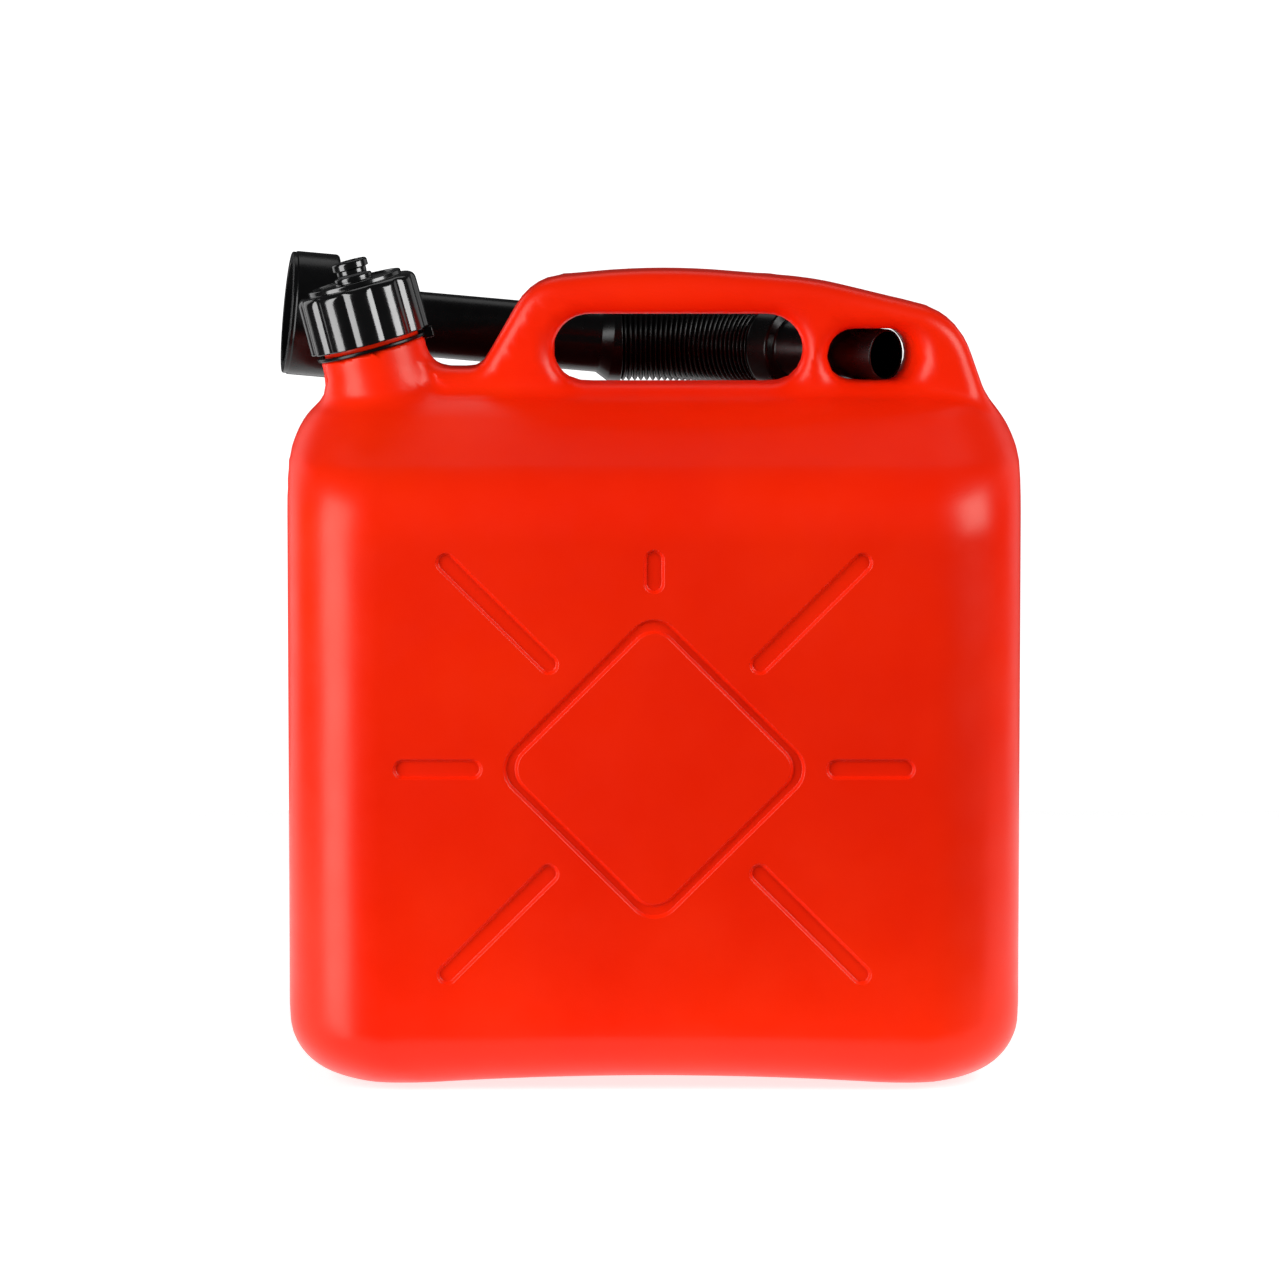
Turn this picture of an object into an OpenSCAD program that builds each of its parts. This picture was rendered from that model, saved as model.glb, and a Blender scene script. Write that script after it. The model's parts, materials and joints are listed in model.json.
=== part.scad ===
// Ten litre blow-moulded fuel can: hollow tank with a built-in handle, a tilted neck with a
// lobed screw cap and vent, and a flexible pouring spout stored through the handle.
// Frame: +X to the right of the front view, front face at -Y, +Z up.
// Origin: centre of the base.

/* [Tank] */
// Width of the tank across the front
tank_w = 302; // [300:1:310]
// Depth of the tank from front to back
tank_d = 150; // [148:1:152]
// Height of the crest that the handle stands on
crest_z = 286; // [285.5:0.5:287]
// Half depth of the crest, where the sloping shoulders end
crest_y = 16; // [15.5:0.5:18]
// Wall thickness of the moulding
wall = 2.2; // [1.8:0.1:2.6]
// Radius of the four upright edges
edge_r = 38; // [32:1:40]
// Radius of the bottom corners seen from the front
foot_r = 30; // [26:1:32]
// Radius of the top corners seen from the front
top_r = 34; // [32:1:36]
// Radius of the bottom edge seen from the side
sole_r = 24; // [20:1:26]
// Radius of the bend from the upright face to the sloping shoulder
bend_r = 38; // [34:1:40]
// Height where that bend starts
bend_z = 227; // [222:1:230]
// Rise of the arched base between its two feet
arch_rise = 4.5; // [2:0.5:5]
// Span of the arch between the feet
arch_span = 230; // [200:5:236]

/* [Pressed pattern] */
// Depth of the grooves in the front and back faces
groove_depth = 1.2; // [0.8:0.1:1.4]
// Height of the middle of the pattern
pattern_z = 135; // [130:1:140]
// Side of the square frame groove that stands on its corner
frame_side = 95; // [90:1:100]
// Width of that frame groove
frame_groove = 5; // [4:0.5:6]
// Outer corner radius of the frame groove
frame_r = 12; // [9:1:14]
// Width of the ray grooves
ray_w = 9.4; // [8:0.2:10.6]

/* [Handle] */
// Thickness of the handle from front to back
handle_d = 30; // [28:1:31]
// Left end of the grip opening
grip_x0 = -41.7; // [-43:0.1:-40]
// Right end of the grip opening
grip_x1 = 61.7; // [60:0.1:62]
// Height of the grip opening
grip_h = 30; // [29:0.5:31]
// Left end of the spout hole
hole_x0 = 71.7; // [71:0.1:73]
// Right end of the spout hole
hole_x1 = 111.5; // [110.5:0.1:112]
// Right end of the spout hole at the back, where its leaning end wall comes out
hole_back_x1 = 102; // [101.8:0.1:102.5]
// Height of the spout hole
hole_h = 24.4; // [24:0.1:24.8]
// Reach of the pillar between the two openings behind the middle plane
pillar_back = 6.2; // [5.5:0.1:6.2]

/* [Neck] */
// Lean of the neck to the left
neck_tilt = 15; // [13:0.5:16]
// Neck axis at the bottom edge of the cap, sideways
neck_x = -117.7; // [-119:0.1:-116]
// Neck axis at the bottom edge of the cap, height
neck_z = 304.3; // [303.5:0.1:305]
// Outer diameter of the neck below the ring
neck_od = 44; // [43:0.1:44.2]
// Outer diameter of the neck inside the ring
ring_seat_od = 40; // [39.6:0.1:40]
// Outer diameter of the neck inside the cap
finish_od = 39; // [38:0.1:39.4]
// Bore of the neck
neck_bore = 34; // [32:0.5:34]
// Height of the neck rim above the bottom edge of the cap
rim_h = 18.5; // [18:0.5:18.5]

/* [Cap and vent] */
// Diameter over the lobes of the cap
cap_od = 51; // [50:0.1:51.5]
// Number of lobes
lobe_count = 12; // [10:1:14]
// Radius of each lobe
lobe_r = 8.8; // [8:0.1:9.2]
// Height of the lobed skirt
cap_h = 24; // [23.5:0.1:24.5]
// Bore of the cap
cap_bore = 42; // [41.6:0.1:42.4]
// Diameter of the raised disc on the cap
disc_d = 39.5; // [38:0.5:40]
// Rise of the raised disc
disc_h = 2; // [1.8:0.1:2.4]
// Diameter of the vent boss on the disc
boss_d = 15.8; // [15.4:0.1:16]
// Height of the vent boss
boss_h = 2; // [1.8:0.1:2.4]
// Diameter of the vent plug's waist
waist_d = 12.6; // [12:0.1:13]
// Diameter of the vent plug's head
head_d = 15; // [14.4:0.1:15.4]
// Diameter of the vent plug's stem
stem_d = 6; // [5.6:0.1:6]

/* [Spout] */
// Middle of the nozzle's outlet, sideways
tip_x = 96.3; // [95:0.1:97]
// Height of the nozzle and the hose
hose_z = 298.3; // [298:0.1:298.5]
// Outer diameter of the nozzle's outlet
tip_d = 21.4; // [21:0.1:21.6]
// Length of the nozzle
nozzle_len = 63.2; // [62:0.1:64]
// Turn of the nozzle from the width of the can towards the front
nozzle_turn = 42.3; // [41:0.1:44]
// Radius of the hose's bend
hose_bend_r = 82.3; // [80:0.1:83]
// Outer diameter of the corrugated hose
hose_d = 32.6; // [32:0.1:32.8]
// Turn of the straight tube from the width of the can towards the back
tube_turn = 6; // [5:0.5:6.5]
// Rise of the straight tube towards its collar
tube_rise = 5.6; // [4.5:0.1:6]
// Outer diameter of the straight tube
tube_d = 27.2; // [26.8:0.1:27.4]
// Length from the hose to the open end of the collar
tube_len = 141.2; // [140:0.1:142]
// Outer diameter of the collar
collar_d = 52; // [51:0.5:52.5]
// Length of the collar
collar_len = 20; // [19:0.5:21]

/* [Hidden] */
$fn = 96;

red = "#f02a06";
black = "#1c1c1e";
rubber = "#2b2b2e";
overlap = 1;                // how far joined solids run into each other
gap = 0.3;                  // clearance between pieces that only pass each other
end_gap = 0.05;             // between the tube's cut end and the hose
end_bulge = 0.2;            // round ends of the spout hole past its flat top

bend_y = tank_d / 2 - bend_r;
// angle from level to the shoulder's normal, for a slope that touches the bend and the crest edge
crest_far = norm([bend_y - crest_y, crest_z - bend_z]);
slope_a = asin(bend_r / crest_far) + atan((bend_y - crest_y) / (crest_z - bend_z));
slope_n = [cos(slope_a), sin(slope_a)];
arch_r = (pow(arch_span / 2, 2) + pow(arch_rise, 2)) / (2 * arch_rise);

ring_h = 1.5;
ring_s = -3.3;              // underside of the ring along the neck axis
ring_step_s = ring_s - 0.1; // step that the ring lies on
ring_bore = ring_seat_od + 0.8;
lug_r0 = neck_od / 2 + 0.45;
lug_r1 = 26.3;
lug_w = 6;
lug_s = [-5, -0.5];

liner_h = 2;
liner_d = 38.6;
liner_hole_d = 9.6;
ceiling_s = rim_h + liner_h;
disc_s = cap_h + disc_h;
boss_s = disc_s + boss_h;
seal_h = 0.8;
seal_d = 12.4;
waist_s = boss_s + seal_h;
head_s = waist_s + 2.2;
head_h = 3.3;
barb_d = 8.4;
barb_s = rim_h + 0.5;
barb_h = 1.6;
barb_room_d = 9.4;          // counterbore in the cap where the stem's barb rides
barb_room_s = 24.6;
stem_hole_d = stem_d + 0.3;

tip = [tip_x, 0, hose_z];
nozzle_dir = [cos(nozzle_turn), -sin(nozzle_turn), 0];
nozzle_end = tip - nozzle_len * nozzle_dir;
bend_centre = nozzle_end - hose_bend_r * [sin(nozzle_turn), cos(nozzle_turn), 0];
hose_end = bend_centre + hose_bend_r * [-sin(tube_turn), cos(tube_turn), 0];
tube_dir = [cos(tube_rise) * cos(tube_turn), cos(tube_rise) * sin(tube_turn), -sin(tube_rise)];
tube_mouth = hose_end - tube_len * tube_dir;
hose_turn = nozzle_turn + tube_turn;

collar_bore = 42;
collar_end_t = 2.5;
flange_t = 2.8;
flange_d = 41;
flange_s = collar_len - collar_end_t - flange_t - 0.2;
gasket_t = 2;
gasket_d = 40.4;
tube_bore = 23;
cuff_len = 11;              // on the nozzle
tube_cuff_len = 6;
cuff_d = 33.4;
hose_bore = 26.6;
nozzle_root_d = 25.5;
nozzle_neck_d = 22.2;       // where the outlet end starts to narrow
outlet_len = 26;
tip_bore = 19.4;
outlet_s = nozzle_len - outlet_len;

// Outline of the handle seen from the front: corners [x, z, corner radius], clockwise from
// the foot beside the neck, over the grip and down to the right corner of the tank.
handle_corners = [
    [-92, 275, 0], [-92, 293.5, 0], [-71.8, 293.5, 8], [-50.6, 330.4, 24], [2, 335.4, 300],
    [66, 330.2, 150], [125.6, 315.8, 30], [140.4, 275, 0]
];

// Direction from point a to point b
function dir(a, b) = (b - a) / norm(b - a);
function xz(c) = [c[0], c[1]];
function cross2(a, b) = a[0] * b[1] - a[1] * b[0];

// Points of an arc of radius c[2] that rounds the corner c between its neighbours a and b
function corner_arc(a, c, b, steps = 8) =
    let (u = dir(xz(c), xz(a)), v = dir(xz(c), xz(b)), half = acos(u * v) / 2)
    c[2] == 0 ? [xz(c)] :
    let (mid = xz(c) + dir([0, 0], u + v) * c[2] / sin(half),
         p = xz(c) + u * c[2] / tan(half) - mid,
         turn = (cross2(u, v) > 0 ? 1 : -1) * (180 - 2 * half))
    [for (i = [0:steps]) let (t = -turn * i / steps)
        mid + [p[0] * cos(t) - p[1] * sin(t), p[0] * sin(t) + p[1] * cos(t)]];

// Closed outline with its corners rounded
function rounded(c) = let (n = len(c))
    [for (i = [0:n - 1]) each corner_arc(c[(i + n - 1) % n], c[i], c[(i + 1) % n])];

// The same corners moved inwards by t, for a clockwise outline
function inset(c, t) = let (n = len(c))
    [for (i = [0:n - 1])
        let (a = xz(c[(i + n - 1) % n]), p = xz(c[i]), b = xz(c[(i + 1) % n]),
             u = dir(a, p), v = dir(p, b), turn = cross2(u, v),
             nu = [u[1], -u[0]], nv = [v[1], -v[0]],
             q = p + (nu + nv) * t / (1 + nu * nv))
        [q[0], q[1], c[i][2] == 0 ? 0 : c[i][2] - (turn < 0 ? t : -t)]];

// Seen from the front: solid of a flat x-z shape, d deep, centred on the middle plane
module from_front(d) rotate([90, 0, 0]) linear_extrude(d, center = true) children();

// Seen from the side: solid of a flat y-z shape, w wide, centred on the middle plane
module from_side(w) rotate([90, 0, 90]) linear_extrude(w, center = true) children();

// Place along the neck axis, s above the bottom edge of the cap
module on_neck(s = 0)
    translate([neck_x, 0, neck_z]) rotate([0, -neck_tilt, 0]) translate([0, 0, s]) children();

// Place along the straight tube, s from its open end
module on_tube(s = 0)
    translate(tube_mouth) rotate([0, 90 + tube_rise, tube_turn]) translate([0, 0, s]) children();

// Place along the nozzle, s from its hose end
module on_nozzle(s = 0)
    translate(nozzle_end) rotate([0, 90, -nozzle_turn]) translate([0, 0, s]) children();

// Round tube along +Z
module pipe(d_out, d_in, h) difference() {
    cylinder(d = d_out, h = h);
    translate([0, 0, -overlap]) cylinder(d = d_in, h = h + 2 * overlap);
}

// ---------------------------------------------------------------- tank

module plan_shape(t) {
    w = tank_w / 2 - t;
    d = tank_d / 2 - t;
    r = edge_r - t;
    square([2 * w, 2 * (d - r)], center = true);
    square([2 * (w - r), 2 * d], center = true);
    for (x = [-1, 1], y = [-1, 1]) translate([x * (w - r), y * (d - r)]) circle(r);
}

module front_shape(t) {
    w = tank_w / 2 - t;
    low_x = tank_w / 2 - foot_r;
    top_x = tank_w / 2 - top_r;
    translate([-w, foot_r]) square([2 * w, crest_z - top_r - foot_r]);
    translate([-low_x, t]) square([2 * low_x, foot_r]);
    translate([-top_x, foot_r]) square([2 * top_x, crest_z - foot_r - t]);
    for (x = [-1, 1]) {
        translate([x * low_x, foot_r]) circle(foot_r - t);
        translate([x * top_x, crest_z - top_r]) circle(top_r - t);
    }
}

module side_shape(t) {
    d = tank_d / 2 - t;
    sole_y = tank_d / 2 - sole_r;
    touch = [bend_y, bend_z] + (bend_r - t) * slope_n;
    crest = [crest_y, crest_z] - t * slope_n;
    translate([-d, sole_r]) square([2 * d, bend_z - sole_r]);
    translate([-sole_y, t]) square([2 * sole_y, sole_r]);
    for (y = [-1, 1]) {
        translate([y * sole_y, sole_r]) circle(sole_r - t);
        translate([y * bend_y, bend_z]) circle(bend_r - t);
    }
    polygon([[-bend_y, bend_z], [bend_y, bend_z], touch, crest,
             [-crest[0], crest[1]], [-touch[0], touch[1]]]);
}

// The arched hollow under the base
module arch(t)
    translate([0, 0, arch_rise - arch_r]) rotate([90, 0, 0])
        cylinder(r = arch_r + t, h = tank_d + 2, center = true);

// The tank's form with its faces moved inwards by t
module tank_form(t = 0) difference() {
    intersection() {
        from_front(tank_d + 2) front_shape(t);
        from_side(tank_w + 2) side_shape(t);
        linear_extrude(crest_z + 2) plan_shape(t);
    }
    arch(t);
}

// Groove with round ends from one point to another, width w
module ray(a, b, w) {
    length = norm(b - a) - w;
    angle = atan2(b[1] - a[1], b[0] - a[0]);
    middle = (a + b) / 2;
    translate(middle) rotate(angle) {
        square([length, w], center = true);
        for (s = [-1, 1]) translate([s * length / 2, 0]) circle(d = w);
    }
}

module rounded_square(side, r) {
    half = side / 2 - r;
    square([side, 2 * half], center = true);
    square([2 * half, side], center = true);
    for (x = [-1, 1], y = [-1, 1]) translate([x * half, y * half]) circle(r);
}

// Square frame on its corner with seven rays round it, none below
module pattern() translate([0, pattern_z]) {
    rotate(45) difference() {
        rounded_square(frame_side, frame_r);
        rounded_square(frame_side - 2 * frame_groove, frame_r - 0.6 * frame_groove);
    }
    for (x = [-1, 1]) {
        for (z = [-1, 1]) ray([x * 40, z * 40], [x * 88, z * 88], ray_w);
        ray([x * 70, 0], [x * 107, 0], ray_w);
    }
    ray([0, 72], [0, 90.5], ray_w - 0.4);
}

module grooves()
    for (y = [-1, 1]) translate([0, y * tank_d / 2, 0])
        from_front(2 * groove_depth) pattern();

// ---------------------------------------------------------------- handle

// Opening with round ends standing on the crest, grown outwards by t
module slot(x0, x1, h, t = 0) {
    r = h / 2;
    for (x = [x0 + r, x1 - r]) translate([x, crest_z + r]) circle(r + t);
    translate([x0 + r, crest_z - t]) square([x1 - x0 - 2 * r, h + 2 * t]);
}

module handle_shape() difference() {
    polygon(rounded(handle_corners));
    slot(grip_x0, grip_x1, grip_h);
}

// The hole that the nozzle lies in. Its right end leans to the left towards the back, so that
// from the front the end wall closes the hole beside the nozzle.
module spout_hole() {
    r = hole_h / 2;
    lean = atan((hole_x1 - hole_back_x1) / handle_d);
    reach = handle_d / 2 + overlap;
    end_x = (hole_x1 + hole_back_x1) / 2 - r / cos(lean);
    shift = reach * tan(lean);
    middle_z = crest_z + r - end_bulge;
    translate([0, 0, crest_z - overlap]) linear_extrude(overlap + hole_h - 2 * end_bulge)
        polygon([[hole_x0 + r, -reach], [end_x + shift, -reach],
                 [end_x - shift, reach], [hole_x0 + r, reach]]);
    translate([hole_x0 + r, 0, middle_z]) rotate([90, 0, 0])
        cylinder(r = r, h = 2 * reach, center = true);
    translate([end_x, 0, middle_z]) rotate([90, 0, lean])
        cylinder(r = r, h = 2 * (reach + overlap) / cos(lean), center = true);
}

// The hollow behind the pillar that the nozzle passes through
module pillar_relief()
    translate([grip_x1 - grip_h / 2, pillar_back, crest_z - overlap])
        cube([hole_x0 - grip_x1 + grip_h / 2 + 8, handle_d, hole_h + 1.5 * overlap]);

// The hollow inside the handle, open to the tank at both feet
module handle_hollow_shape() difference() {
    polygon(rounded(inset(handle_corners, wall)));
    slot(grip_x0, grip_x1, grip_h, wall);
    slot(hole_x0, hole_x1, hole_h, wall);
    translate([grip_x0 + grip_h / 2, crest_z - wall])
        square([hole_x1 - grip_x0 - grip_h, hole_h + 2 * wall]);
}

// ---------------------------------------------------------------- pieces

module can_body() color(red) difference() {
    union() {
        tank_form();
        difference() {
            from_front(handle_d) handle_shape();
            spout_hole();
            pillar_relief();
        }
        on_neck(-26) cylinder(d = neck_od, h = 26 + ring_step_s);
        on_neck(ring_step_s - overlap) cylinder(d = ring_seat_od, h = overlap - ring_step_s);
        on_neck(-overlap) cylinder(d = finish_od, h = rim_h + overlap);
    }
    tank_form(wall);
    from_front(handle_d - 2 * wall) handle_hollow_shape();
    on_neck(-30) cylinder(d = neck_bore, h = 30 + rim_h + overlap);
    grooves();
}

module neck_ring() color(black) {
    on_neck(ring_s) pipe(neck_od + 2.5, ring_bore, ring_h);
    on_neck(lug_s[0]) difference() {
        translate([lug_r0 - overlap, -lug_w / 2, 0])
            cube([lug_r1 - lug_r0 + overlap, lug_w, lug_s[1] - lug_s[0]]);
        translate([0, 0, -overlap]) cylinder(r = lug_r0, h = lug_s[1] - lug_s[0] + 2 * overlap);
    }
}

module cap_liner() color(rubber)
    on_neck(rim_h) pipe(liner_d, liner_hole_d, liner_h);

// Lobed outline of the cap
module lobes() {
    circle(d = cap_od - lobe_r);
    for (i = [0:lobe_count - 1])
        rotate((i + 0.1) * 360 / lobe_count) translate([cap_od / 2 - lobe_r, 0]) circle(lobe_r);
}

// Half section of the cap's outside: square bottom edge and rounded top edge
module cap_section() {
    edge = 4;
    square([cap_od / 2, cap_h - edge]);
    square([cap_od / 2 - edge, cap_h]);
    intersection() {
        translate([cap_od / 2 - edge, cap_h - edge]) circle(edge);
        square([cap_od / 2, cap_h]);
    }
}

module screw_cap() color(black) on_neck() difference() {
    union() {
        intersection() {
            linear_extrude(cap_h) lobes();
            rotate_extrude() cap_section();
        }
        translate([0, 0, cap_h - overlap]) cylinder(d = disc_d, h = disc_h + overlap);
        translate([0, 0, disc_s - overlap]) cylinder(d = boss_d, h = boss_h + overlap);
    }
    translate([0, 0, -overlap]) cylinder(d = cap_bore, h = ceiling_s + overlap);
    cylinder(d = barb_room_d, h = barb_room_s);
    cylinder(d = stem_hole_d, h = boss_s + overlap);
}

module vent_plug() color(black) on_neck() {
    translate([0, 0, head_s]) cylinder(d = head_d, h = head_h - 1);
    translate([0, 0, head_s + head_h - 1]) cylinder(d1 = head_d, d2 = head_d - 2, h = 1);
    translate([0, 0, waist_s]) cylinder(d = waist_d, h = head_s - waist_s);
    translate([0, 0, barb_s]) difference() {
        cylinder(d = stem_d, h = waist_s - barb_s);
        // flat along the stem that lets air past when the plug is up
        translate([stem_d * 0.38, -stem_d / 2, -overlap]) cube([stem_d, stem_d, 7]);
    }
    translate([0, 0, barb_s]) cylinder(d1 = stem_d, d2 = barb_d, h = barb_h);
}

module vent_seal() color(rubber)
    on_neck(boss_s) pipe(seal_d, stem_d, seal_h);

module spout_nozzle() color(black) difference() {
    union() {
        on_nozzle() cylinder(d = cuff_d, h = cuff_len);
        on_nozzle(cuff_len) cylinder(d1 = nozzle_root_d, d2 = nozzle_neck_d, h = outlet_s - cuff_len);
        on_nozzle(outlet_s) cylinder(d1 = nozzle_neck_d, d2 = tip_d, h = outlet_len);
    }
    on_nozzle(-overlap) cylinder(d = tube_bore - 1, h = cuff_len + overlap);
    on_nozzle(cuff_len) cylinder(d1 = tube_bore - 1, d2 = tip_bore, h = outlet_s - cuff_len);
    on_nozzle(outlet_s - overlap) cylinder(d = tip_bore, h = outlet_len + 2 * overlap);
}

module spout_hose() color(black)
    translate(bend_centre) rotate([0, 0, 90 - nozzle_turn])
        rotate_extrude(angle = hose_turn) translate([hose_bend_r, 0]) difference() {
            circle(d = hose_d);
            circle(d = hose_bore);
        }

// The tube runs a little past the hose's end and is cut off square to the hose, just short of it
module spout_tube() color(black) difference() {
    union() {
        on_tube(flange_s) cylinder(d = flange_d, h = flange_t);
        on_tube(flange_s) cylinder(d = tube_d, h = tube_len - flange_s);
        on_tube(tube_len - tube_cuff_len) cylinder(d = cuff_d, h = tube_cuff_len + 2 * overlap);
    }
    on_tube(flange_s - overlap) cylinder(d = tube_bore, h = tube_len);
    on_tube(tube_len - end_gap) rotate([0, -tube_rise, 0]) translate([-cuff_d, -cuff_d, 0])
        cube([2 * cuff_d, 2 * cuff_d, tube_cuff_len]);
}

module spout_gasket() color(rubber)
    on_tube(flange_s - gasket_t) pipe(gasket_d, tube_bore, gasket_t);

module spout_collar() color(black) difference() {
    on_tube() cylinder(d = collar_d, h = collar_len);
    on_tube(-overlap) cylinder(d = collar_bore, h = collar_len - collar_end_t + overlap);
    on_tube() cylinder(d = tube_d + 2 * gap, h = collar_len + overlap);
}

can_body();
neck_ring();
cap_liner();
screw_cap();
vent_plug();
vent_seal();
spout_nozzle();
spout_hose();
spout_tube();
spout_gasket();
spout_collar();
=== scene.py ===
"""Looks of a red blow-moulded fuel can with a lobed vented screw cap and a stored black spout.

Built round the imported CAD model, in metres in its frame; the shape functions work in millimetres.
"""

import json
import math

import bmesh
import bpy
import numpy as np
import openvdb
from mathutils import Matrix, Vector
from mathutils.geometry import delaunay_2d_cdt

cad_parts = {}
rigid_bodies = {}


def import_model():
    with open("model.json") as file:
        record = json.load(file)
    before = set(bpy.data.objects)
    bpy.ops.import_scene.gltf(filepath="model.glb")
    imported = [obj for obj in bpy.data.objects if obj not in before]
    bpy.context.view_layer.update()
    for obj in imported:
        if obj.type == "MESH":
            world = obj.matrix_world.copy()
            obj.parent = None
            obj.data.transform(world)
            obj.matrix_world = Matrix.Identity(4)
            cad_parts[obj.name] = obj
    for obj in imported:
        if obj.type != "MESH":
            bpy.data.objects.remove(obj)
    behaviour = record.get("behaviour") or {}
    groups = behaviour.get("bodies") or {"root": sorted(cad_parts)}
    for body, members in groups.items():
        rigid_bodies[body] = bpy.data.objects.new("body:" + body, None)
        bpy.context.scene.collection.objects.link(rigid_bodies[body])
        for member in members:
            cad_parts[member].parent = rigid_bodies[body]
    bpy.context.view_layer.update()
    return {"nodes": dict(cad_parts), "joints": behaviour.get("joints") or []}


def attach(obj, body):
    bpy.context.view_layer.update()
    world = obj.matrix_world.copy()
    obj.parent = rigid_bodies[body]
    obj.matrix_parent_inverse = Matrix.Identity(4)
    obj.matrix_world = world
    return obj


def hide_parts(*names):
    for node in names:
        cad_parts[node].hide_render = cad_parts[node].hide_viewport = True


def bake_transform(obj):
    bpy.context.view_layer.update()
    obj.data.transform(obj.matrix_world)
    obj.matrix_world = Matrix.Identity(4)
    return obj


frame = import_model()

MM = 0.001

# ------------------------------------------------------------------ sizes of the can, in mm
HALF_W, HALF_D = 151.0, 75.0
CREST_Z, CREST_Y, CREST_ROUND = 286.8, 16.0, 12.0
EDGE_R, FOOT_R, TOP_R, SOLE_R, BEND_R = 38.0, 30.0, 34.0, 24.0, 38.0
BEND_Z = 227.0
ARCH_RISE, ARCH_SPAN, ARCH_FADE = 4.5, 230.0, 45.0
GROOVE_DEPTH, GROOVE_WALL = 1.6, 1.6
PATTERN_Z = 135.0                   # middle of the pattern, which the rays' reaches go by
RAY_DIAGONAL, RAY_SIDE, RAY_TOP = (40, 88), (70, 107), (72, 90.5)
FRAME_SIDE, FRAME_GROOVE, FRAME_R = 94.6, 5.5, 12.0
FRAME_IN_SIDE, FRAME_IN_R = FRAME_SIDE - 2 * FRAME_GROOVE, FRAME_R - 0.6 * FRAME_GROOVE
RAY_W = 8.9
OPENING_Z = 286.0                   # bottom of both openings in the handle
GRIP = (-41.7, 61.7, 30.0)          # x0, x1, height of the round-ended opening
SPOUT_HOLE = (71.7, 111.5, 22.9)    # the same for the opening that takes the spout
SPOUT_HOLE_Z, RELIEF_H = 287.0, 24.4
HOLE_BACK_X1 = 102.0                # its right end leans to here at the back
HANDLE_D, HANDLE_EDGE = 30.0, 7.4
PILLAR_BACK = 6.2                   # the pillar between the openings is hollowed behind this
NECK_OD, NECK_BORE, NECK_TOP = 44.0, 34.0, -3.4
HANDLE_CORNERS = [
    (-92, 268, 0), (-92, 293.5, 0), (-71.8, 293.5, 8), (-50.6, 330.4, 24), (2, 335.4, 300),
    (66, 330.2, 150), (125.6, 315.8, 30), (142.5, 268, 0),
]

ROUND_PART = 0.985                  # part of a quarter round's reach that is really round

JOINT = {j["name"]: j for j in frame["joints"]}


# ------------------------------------------------------------------ distance functions, in mm
def smooth_min(a, b, k):
    """The smaller of two distances, with their meeting rounded over k"""
    h = np.maximum(k - np.abs(a - b), 0) / k
    return np.minimum(a, b) - h * h * k / 4


def smooth_max(a, b, k):
    return -smooth_min(-a, -b, k)


def smooth_step(t):
    t = np.clip(t, 0, 1)
    return t * t * (3 - 2 * t)


def quarter_round(r, t):
    """How far a quarter round of radius r has drawn in at t, and how steeply

    Its last stretch runs on straight, so that the slope stays finite.
    """
    t = np.maximum(t, 0)
    bent = np.minimum(t, r * ROUND_PART)
    s = np.sqrt(r * r - bent * bent)
    return r - s + (t - bent) * bent / s, bent / s


def half_width(z):
    """Half the tank's width at height z, and how steeply it changes"""
    low, low_slope = quarter_round(FOOT_R, FOOT_R - z)
    top, top_slope = quarter_round(TOP_R, z - CREST_Z + TOP_R)
    return HALF_W - low - top, low_slope - top_slope


BEND_Y = HALF_D - BEND_R
SLOPE = (math.asin(BEND_R / math.hypot(BEND_Y - CREST_Y, CREST_Z - BEND_Z))
         + math.atan2(BEND_Y - CREST_Y, CREST_Z - BEND_Z))


def half_depth(z):
    """Half the tank's depth: upright face, bend and straight sloping shoulder"""
    touch = BEND_R * math.sin(SLOPE)
    low, low_slope = quarter_round(SOLE_R, SOLE_R - z)
    bend, bend_slope = quarter_round(BEND_R, np.minimum(z - BEND_Z, touch))
    past = np.maximum(z - BEND_Z - touch, 0)
    return HALF_D - low - bend - past * math.tan(SLOPE), low_slope - bend_slope


def arch(x, z):
    """How far the base is arched up, fading out above it"""
    rise = ARCH_RISE * np.maximum(1 - (2 * x / ARCH_SPAN) ** 2, 0)
    return rise * (1 - smooth_step((z - ARCH_RISE) / ARCH_FADE))


def section(x, y, z):
    """Level distance to the tank's rounded section at height z, and its change with z"""
    a, a_slope = half_width(z)
    b, b_slope = half_depth(z)
    b = np.maximum(b, 1)
    r = smooth_min(EDGE_R + 0 * b, 0.95 * b, 12)
    qx, qy = np.abs(x) - a + r, np.abs(y) - b + r
    out_x, out_y = np.maximum(qx, 0), np.maximum(qy, 0)
    far = np.hypot(out_x, out_y)
    flat_x = (qx > qy).astype(float)
    nx = np.where(far > 1e-6, out_x / np.maximum(far, 1e-6), flat_x)
    ny = np.where(far > 1e-6, out_y / np.maximum(far, 1e-6), 1 - flat_x)
    return np.minimum(np.maximum(qx, qy), 0) + far - r, -(nx * a_slope + ny * b_slope)


def tank_field(x, y, z, top=False):
    """Distance to the tank. Over its domed top the nearest height is searched for."""
    z = z - arch(x, z)
    g, slope = section(x, y, z)
    near = np.maximum(smooth_max(g / np.sqrt(1 + slope ** 2), z - CREST_Z, CREST_ROUND), -z)
    if not top:
        return near
    x, y, z, near = np.broadcast_arrays(x, y, z, near)
    high = np.minimum(z, CREST_Z)
    low = high - 70
    for _ in range(9):
        middle = (low + high) / 2
        g, slope = section(x, y, middle)
        above = np.maximum(g, 0) * slope > z - middle
        low, high = np.where(above, low, middle), np.where(above, middle, high)
    g, slope = section(x, y, high)
    far = np.hypot(np.maximum(g, 0), z - high)
    return near + (far - near) * smooth_step((far - 0.5) / 6)


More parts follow.
